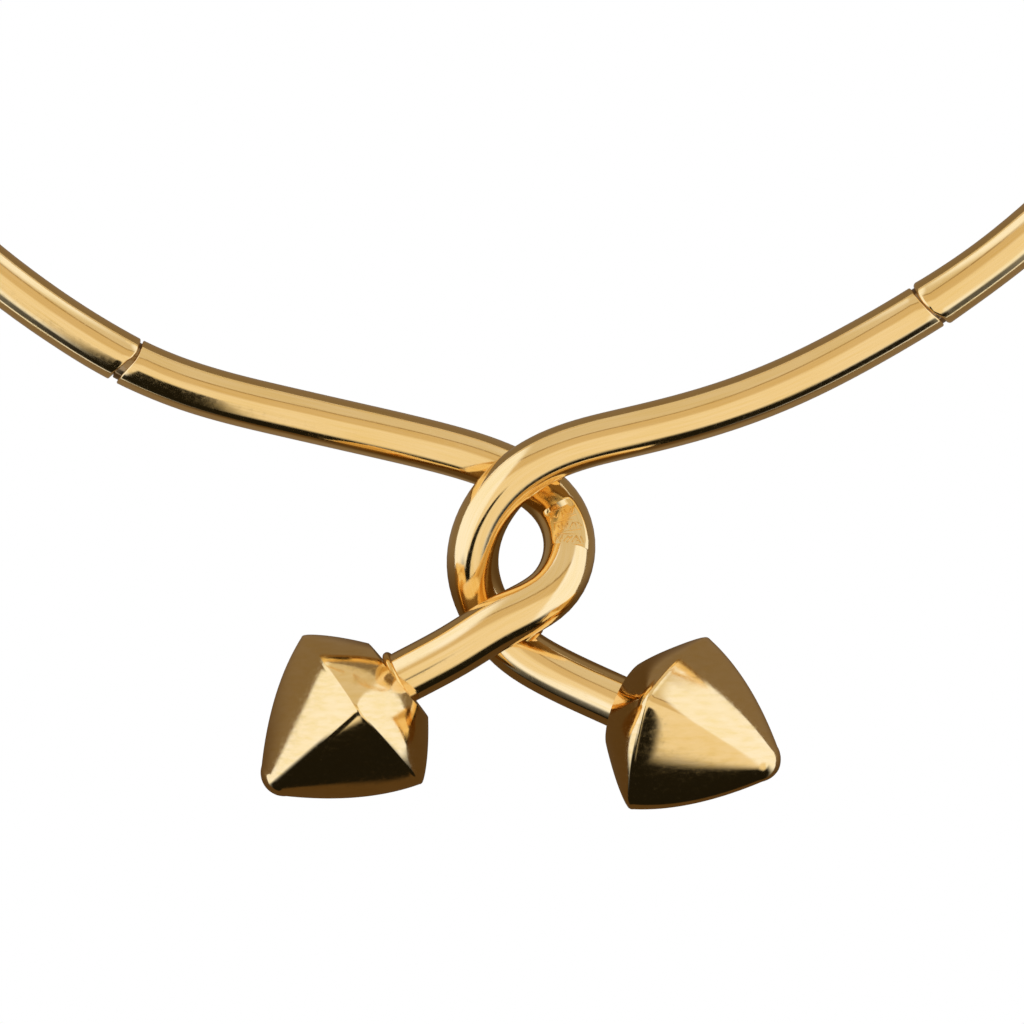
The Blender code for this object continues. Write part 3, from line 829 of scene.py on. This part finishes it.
class TORC_OT_seam_cores(bpy.types.Operator):
    """Adds the core that shows in each seam between collar and arm, in dark bronze as painted shade of the
    recess
    """
    bl_idname = "torc.seam_cores"
    bl_label = "Seam cores"

    def execute(self, context):
        tube = context.scene.torc_tube
        laid = plane_to_table()
        lying = Matrix.Translation((CORE_SHIFT, 0.0, 0.0)) @ Matrix.Rotation(math.pi / 2, 4, "Y")
        for side, seam, heading in (("left", LEFT_SEAM, LEFT_SEAM_HEADING),
                                    ("right", RIGHT_SEAM, RIGHT_SEAM_HEADING)):
            place, _ = hinge_place(seam, heading)
            radius = tube.radius * CORE_REACH[side]
            shape = bmesh.new()
            bmesh.ops.create_cone(shape, cap_ends=True, segments=64, radius1=radius, radius2=radius,
                                  depth=CORE_LENGTH, matrix=lying)
            bmesh.ops.bevel(shape, geom=list(shape.edges), offset=CORE_BEVEL, offset_type="OFFSET",
                            affect="EDGES", segments=2, profile=0.5, material=-1)
            shape.transform(place)
            item = polished(shape, side + "_seam_core", laid)
            # The core's dark bronze is painted shade of the seam's recess
            fit(item, "front", material="seam_core_painted_shade")
        return {"FINISHED"}


class TORC_OT_stamp(bpy.types.Operator):
    """Adds the filed patch's rows of shallow strokes, which are no letters"""
    bl_idname = "torc.stamp"
    bl_label = "Stamp patch"

    def execute(self, context):
        laid = plane_to_table()
        draw = np.random.default_rng(7)
        line = smooth_line(arm_knots(LEFT_SEAM, LEFT_SEAM_HEADING, LEFT_ARM_ROUTE))
        start, end = distance_at(line, STAMP_START), distance_at(line, STAMP_END)
        pitch = (end - start) / STAMP_ROWS
        shape = bmesh.new()

        def bar(place, across, along, turn, size):
            spot = place @ Matrix.Translation((across, STAMP_HEIGHT, along)) @ Matrix.Rotation(turn, 4, "Y")
            bmesh.ops.create_cube(shape, size=1.0, matrix=spot @ Matrix.Diagonal((*size, 1.0)))

        for row in range(STAMP_ROWS):
            place = frame_at(line, start + pitch * (row + 0.5))
            for i in range(STROKES_IN_ROW):
                across = (i - (STROKES_IN_ROW - 1) / 2) * STROKE_PITCH
                across += draw.uniform(-STROKE_SHIFT, STROKE_SHIFT)
                lean = math.radians(draw.uniform(-STROKE_LEAN, STROKE_LEAN))
                size = (STROKE_WIDTH, STROKE_DEPTH, draw.uniform(*STROKE_LENGTHS))
                bar(place, across, draw.uniform(-STROKE_SLIDE, STROKE_SLIDE), lean, size)
                if i % 2:
                    bar(place, across, draw.uniform(-DASH_SLIDE, DASH_SLIDE), 0.0, DASH_SIZE)
            for edge in (-ROW_EDGE, ROW_EDGE):
                bar(place, 0.0, edge, 0.0, ROW_EDGE_SIZE)
        bmesh.ops.bevel(shape, geom=list(shape.edges), offset=STROKE_BEVEL, offset_type="OFFSET",
                        affect="EDGES", segments=1, profile=0.5, material=-1)
        item = polished(shape, "stamp_strokes", laid)
        fit(item, "front", material="solder_gold")
        return {"FINISHED"}


class TORC_OT_pins(bpy.types.Operator):
    """Gives the hinge pins their gold"""
    bl_idname = "torc.pins"
    bl_label = "Hinge pins"

    def execute(self, context):
        for name in ("left_hinge_pin", "right_hinge_pin"):
            item = frame["nodes"][name]
            item.data.materials.clear()
            item.data.materials.append(gold_material("polished_terminal"))
        return {"FINISHED"}


# Stage

def studio_world(colour):
    """A light tent: bright overhead and at the sides, beige at the back, dark where the camera stands."""
    world = bpy.data.worlds.new("studio")
    world.use_nodes = True
    graph = Graph(world.node_tree)
    graph.nodes.clear()
    coords = graph.nodes.new("ShaderNodeTexCoord")
    x, y, z = graph.split(coords.outputs["Generated"])
    front = graph.towards_front(x, y)
    aside = graph.maths("ABSOLUTE", x)
    boxes = graph.blend(graph.step(y, *BAND_START), BEYOND, BETWEEN)
    boxes = graph.blend(graph.step(y, *BAND_END), boxes, BEIGE)
    over = graph.blend(graph.step(y, *OVERHEAD_END), OVERHEAD, boxes)
    tent = graph.blend(graph.step(aside, *SIDE_BOXES), over, BRIGHT)
    left, ahead = math.cos(SLOT_TURN), math.sin(SLOT_TURN)
    lean = graph.maths("ADD", graph.maths("MULTIPLY", x, left), graph.maths("MULTIPLY", y, ahead))
    level = graph.maths("SUBTRACT", 1.0, graph.maths("MULTIPLY", z, z))
    level = graph.maths("SQRT", graph.maths("MAXIMUM", level, SMALLEST))
    lean = graph.maths("DIVIDE", lean, level)
    slot = graph.maths("MULTIPLY", graph.step(lean, *SLOT_WIDTH), graph.step(z, *SLOT_TOP))
    wall = graph.maths("MULTIPLY", graph.step(front, *WALL_WIDTH), graph.step(z, *WALL_TOP))
    tent = graph.blend(graph.maths("MAXIMUM", slot, wall), tent, FRONT_DARK)
    path = graph.nodes.new("ShaderNodeLightPath")
    shown = graph.blend(path.outputs["Is Camera Ray"], tent, (*colour, 1.0))
    light = graph.nodes.new("ShaderNodeBackground")
    graph.links.new(shown, light.inputs["Color"])
    out = graph.nodes.new("ShaderNodeOutputWorld")
    graph.links.new(light.outputs[0], out.inputs["Surface"])
    return world


def floor_material(colour, middle, reach):
    """A glowing floor, pale to the camera; in the gold it is brown close by, a painted shadow of the torc,
    and bright farther off.
    """
    material = bpy.data.materials.new("pale_floor")
    material.use_nodes = True
    graph = Graph(material.node_tree)
    graph.nodes.clear()
    coords = graph.nodes.new("ShaderNodeTexCoord")
    x, y, _ = graph.split(coords.outputs["Object"])
    x = graph.maths("SUBTRACT", x, middle[0])
    y = graph.maths("SUBTRACT", y, middle[1])
    front = graph.towards_front(x, y)
    wide = graph.maths("DIVIDE", x, reach[0])
    deep = graph.maths("DIVIDE", y, reach[1])
    away = graph.size(wide, deep)
    # Painted shadow of the torc, mirrored in the gold: brown, darker to the front; farther off the floor
    # glows with the light tent's colours
    near = graph.blend(graph.step(front, *SHADOW_DARKENING), FLOOR_SHADOW, FLOOR_SHADOW_FRONT)
    side = graph.blend(graph.step(front, *BACK_WIDTH), BEIGE, BRIGHT)
    far = graph.blend(graph.step(front, *WALL_WIDTH), side, FRONT_DARK)
    mirrored = graph.blend(graph.step(away, *SHADOW_END), near, far)
    path = graph.nodes.new("ShaderNodeLightPath")
    shown = graph.blend(path.outputs["Is Camera Ray"], mirrored, (*colour, 1.0))
    glow = graph.nodes.new("ShaderNodeEmission")
    graph.links.new(shown, glow.inputs["Color"])
    out = graph.nodes.new("ShaderNodeOutputMaterial")
    graph.links.new(glow.outputs[0], out.inputs["Surface"])
    return material


class TORC_OT_stage(bpy.types.Operator):
    """Adds the pale floor, the light tent and the camera"""
    bl_idname = "torc.stage"
    bl_label = "Stage"

    def execute(self, context):
        stage = context.scene.torc_stage
        laid = plane_to_table()
        middle = laid @ Vector(PICTURE_MIDDLE)
        shape = bmesh.new()
        bmesh.ops.create_grid(shape, x_segments=1, y_segments=1, size=FLOOR_SIZE)
        bmesh.ops.translate(shape, verts=shape.verts, vec=(0.0, 0.0, -FLOOR_DROP))
        mesh = bpy.data.meshes.new("floor")
        shape.to_mesh(mesh)
        shape.free()
        floor = bpy.data.objects.new("floor", mesh)
        floor.data.materials.append(floor_material(stage.floor_colour, middle, SHADOW_REACH))
        context.scene.collection.objects.link(floor)
        context.scene.world = studio_world(stage.floor_colour)

        axis = (laid.to_3x3() @ Vector((0.0, 0.0, 1.0))).normalized()
        data = bpy.data.cameras.new("camera")
        data.sensor_width = SENSOR_WIDTH
        data.lens = SENSOR_WIDTH * stage.camera_distance / stage.picture_width
        data.clip_end = CAMERA_CLIP
        camera = bpy.data.objects.new("camera", data)
        right = Vector((1.0, 0.0, 0.0))
        turn = Matrix((right, axis.cross(right), axis)).transposed().to_4x4()
        camera.matrix_world = Matrix.Translation(middle + axis * stage.camera_distance) @ turn
        context.scene.collection.objects.link(camera)
        context.scene.camera = camera
        context.scene.view_settings.view_transform = "Standard"
        return {"FINISHED"}


OPERATORS = (TORC_OT_arms, TORC_OT_collars, TORC_OT_terminals, TORC_OT_solder, TORC_OT_seam_cores,
             TORC_OT_stamp, TORC_OT_pins, TORC_OT_stage)
GROUPS = {
    "torc_tube": TorcTube, "torc_terminal": TorcTerminal, "torc_gold": TorcGold, "torc_stage": TorcStage,
}


class TORC_PT_panel(bpy.types.Panel):
    """Lists the torc's sizes and the operators that add its pieces"""
    bl_idname = "TORC_PT_panel"
    bl_label = "Jointed gold torc"
    bl_space_type = "VIEW_3D"
    bl_region_type = "UI"
    bl_category = "Torc"

    def draw(self, context):
        for name, group in GROUPS.items():
            box = self.layout.box()
            for value in group.__annotations__:
                box.prop(getattr(context.scene, name), value)
        for operator in OPERATORS:
            self.layout.operator(operator.bl_idname)


def register():
    for item in (*GROUPS.values(), *OPERATORS, TORC_PT_panel):
        bpy.utils.register_class(item)
    for name, group in GROUPS.items():
        setattr(bpy.types.Scene, name, PointerProperty(type=group))


def unregister():
    for name in GROUPS:
        delattr(bpy.types.Scene, name)
    for item in reversed((*GROUPS.values(), *OPERATORS, TORC_PT_panel)):
        bpy.utils.unregister_class(item)


def main():
    register()
    bpy.ops.torc.arms()
    bpy.ops.torc.collars()
    bpy.ops.torc.terminals()
    bpy.ops.torc.solder()
    bpy.ops.torc.seam_cores()
    bpy.ops.torc.stamp()
    bpy.ops.torc.pins()
    bpy.ops.torc.stage()


if __name__ == "__main__":
    main()
